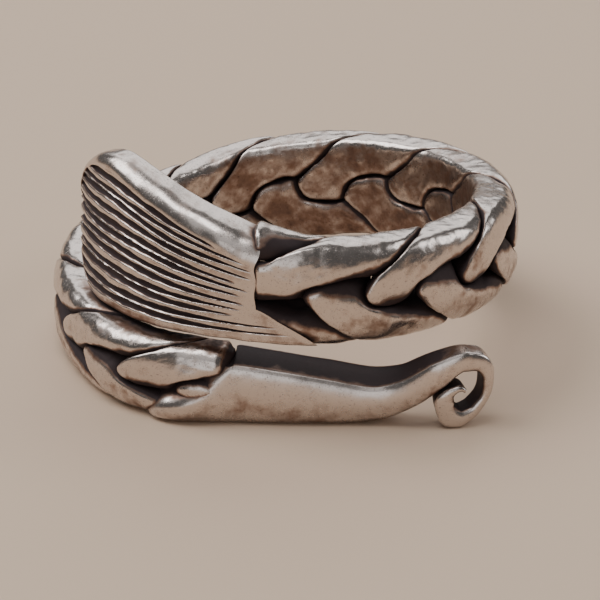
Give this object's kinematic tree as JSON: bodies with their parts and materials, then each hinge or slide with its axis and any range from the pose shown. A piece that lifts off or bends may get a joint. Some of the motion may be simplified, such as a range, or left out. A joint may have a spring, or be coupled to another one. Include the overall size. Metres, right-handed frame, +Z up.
{
  "type": "braided wrap ring",
  "caption": "Silver wrap ring with a plaited band, a fan-shaped grooved end and a tapered tail that curls into a small scroll, lying on its side.",
  "frame": {"origin": "on the axis of the finger hole, at the level of the surface that the ring lies on", "axes": "+Z up along the axis of the finger hole, -Y towards the front with the grooved fan and the tail, +X towards the scroll"},
  "size_m": [0.0216, 0.0217, 0.0114],
  "materials": {
    "silver": "antiqued silver, polished on the high spots and dark in the recesses"
  },
  "bodies": {
    "root": {"braid_strand_1": "silver", "braid_strand_2": "silver", "braid_strand_3": "silver", "fan": "silver", "tail": "silver"}
  },
  "joints": []
}
